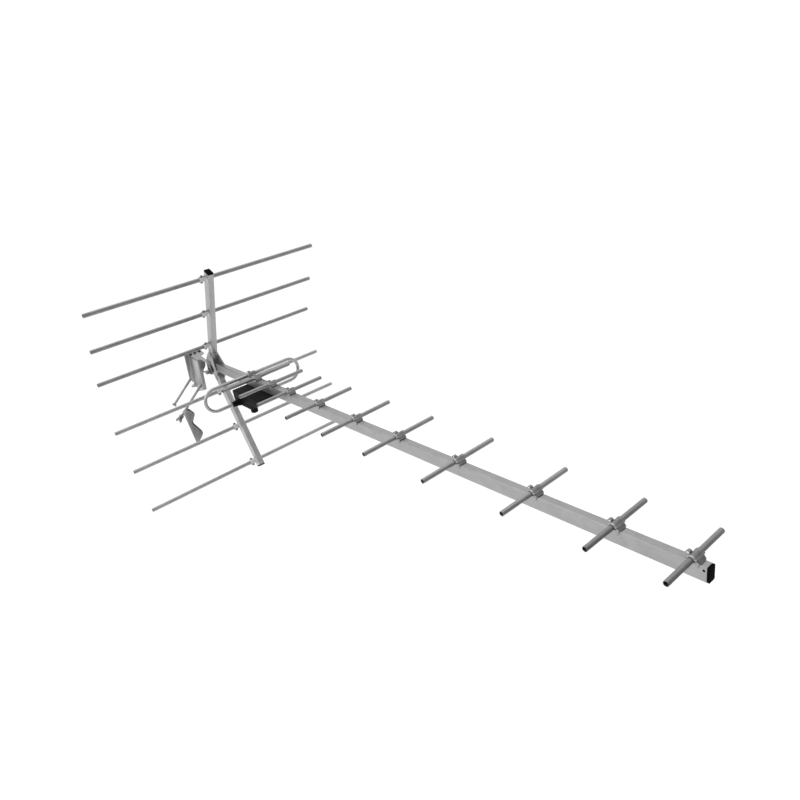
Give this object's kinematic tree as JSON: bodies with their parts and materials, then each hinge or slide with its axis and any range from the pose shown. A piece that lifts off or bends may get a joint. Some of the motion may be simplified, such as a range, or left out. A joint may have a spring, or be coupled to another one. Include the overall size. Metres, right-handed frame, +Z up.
{
  "type": "yagi antenna",
  "caption": "Television yagi antenna with a rectangular boom, clipped directors, folded dipole with junction box, V-shaped rod reflector and tilting mast clamp.",
  "frame": {"origin": "centre of the flat pad on the clamp bracket's web, where the mast bears", "axes": "+X along the boom towards the front, +Y along the elements, away from the mast pad, +Z up"},
  "size_m": [1.3832, 0.562, 0.5073],
  "materials": {
    "aluminium_extrusion": "satin mill finish with faint lengthwise drawing lines",
    "element_tube": "drawn tube, slightly duller than the boom",
    "clip_stamping": "stamped sheet, dull grey",
    "zinc_steel": "zinc plated steel",
    "plated_connector": "nickel plated",
    "black_plastic": "moulded, weatherproof, fine texture",
    "circuit_board": "lacquered board"
  },
  "bodies": {
    "mast_clamp": {"mast_bracket": "zinc_steel", "clamp_bolt_rear": "zinc_steel", "clamp_bolt_front": "zinc_steel", "tilt_bolt": "zinc_steel"},
    "boom_frame": {"boom": "aluminium_extrusion", "boom_cap_front": "black_plastic", "hub_bracket": "zinc_steel", "arm_pin_upper": "zinc_steel", "arm_pin_lower": "zinc_steel", "director_1": "element_tube", "director_2": "element_tube", "director_3": "element_tube", "director_4": "element_tube", "director_5": "element_tube", "director_6": "element_tube", "director_7": "element_tube", "director_8": "element_tube", "director_9": "element_tube", "director_10": "element_tube", "director_clip_1": "clip_stamping", "director_clip_2": "clip_stamping", "director_clip_3": "clip_stamping", "director_clip_4": "clip_stamping", "director_clip_5": "clip_stamping", "director_clip_6": "clip_stamping", "director_clip_7": "clip_stamping", "director_clip_8": "clip_stamping", "director_clip_9": "clip_stamping", "director_clip_10": "clip_stamping", "folded_dipole": "element_tube", "dipole_clip": "clip_stamping", "box_base": "black_plastic", "balun_board": "circuit_board", "terminal_screw_left": "zinc_steel", "terminal_screw_right": "zinc_steel", "dipole_sleeve_left": "black_plastic", "dipole_sleeve_right": "black_plastic"},
    "reflector_upper": {"arm_upper": "aluminium_extrusion", "arm_cap_upper": "black_plastic", "reflector_rod_1": "element_tube", "reflector_rod_2": "element_tube", "reflector_rod_3": "element_tube", "rod_clip_1": "clip_stamping", "rod_clip_2": "clip_stamping", "rod_clip_3": "clip_stamping"},
    "reflector_lower": {"arm_lower": "aluminium_extrusion", "arm_cap_lower": "black_plastic", "reflector_rod_4": "element_tube", "reflector_rod_5": "element_tube", "reflector_rod_6": "element_tube", "rod_clip_4": "clip_stamping", "rod_clip_5": "clip_stamping", "rod_clip_6": "clip_stamping"},
    "lid": {"box_lid": "black_plastic", "f_connector": "plated_connector", "lid_screw": "zinc_steel"},
    "clamp_slider": {"clamp_nut": "zinc_steel"},
    "jaw": {"clamp_jaw": "zinc_steel"},
    "clamp_wing": {"clamp_wing_nut": "zinc_steel"},
    "tilt_wing": {"tilt_wing_nut": "zinc_steel"}
  },
  "joints": [
    {"name": "boom_tilt", "type": "hinge", "parent": "mast_clamp", "child": "boom_frame", "pos_m": [0.05074, 0.03, 0.01136], "axis": [0, -1, 0], "range_deg": [-10, 30]},
    {"name": "upper_arm_fold", "type": "hinge", "parent": "boom_frame", "child": "reflector_upper", "pos_m": [0.07095, 0.03, 0.05592], "axis": [0, 1, 0], "range_deg": [0, 35]},
    {"name": "lower_arm_fold", "type": "hinge", "parent": "boom_frame", "child": "reflector_lower", "pos_m": [0.07095, 0.03, -0.0052], "axis": [0, -1, 0], "range_deg": [0, 35]},
    {"name": "lid_swing", "type": "hinge", "parent": "boom_frame", "child": "lid", "pos_m": [0.22874, 0.03, -0.00864], "axis": [0, 1, 0], "range_deg": [0, 60]},
    {"name": "jaw_slide", "type": "slide", "parent": "mast_clamp", "child": "clamp_slider", "axis": [-0.05, 0.7905, 0.6104], "range_m": [0, 0.04]},
    {"name": "jaw_swing", "type": "hinge", "parent": "clamp_slider", "child": "jaw", "pos_m": [0.01631, -0.06372, -0.07746], "axis": [-0.05, 0.7905, 0.6104], "range_deg": [-8, 90]},
    {"name": "clamp_nut_spin", "type": "hinge", "parent": "clamp_slider", "child": "clamp_wing", "pos_m": [0.01676, -0.07083, -0.08295], "axis": [0.05, -0.7905, -0.6104], "continuous": true},
    {"name": "tilt_nut_spin", "type": "hinge", "parent": "mast_clamp", "child": "tilt_wing", "pos_m": [0.05074, 0.015, 0.01136], "axis": [0, -1, 0], "continuous": true}
  ]
}
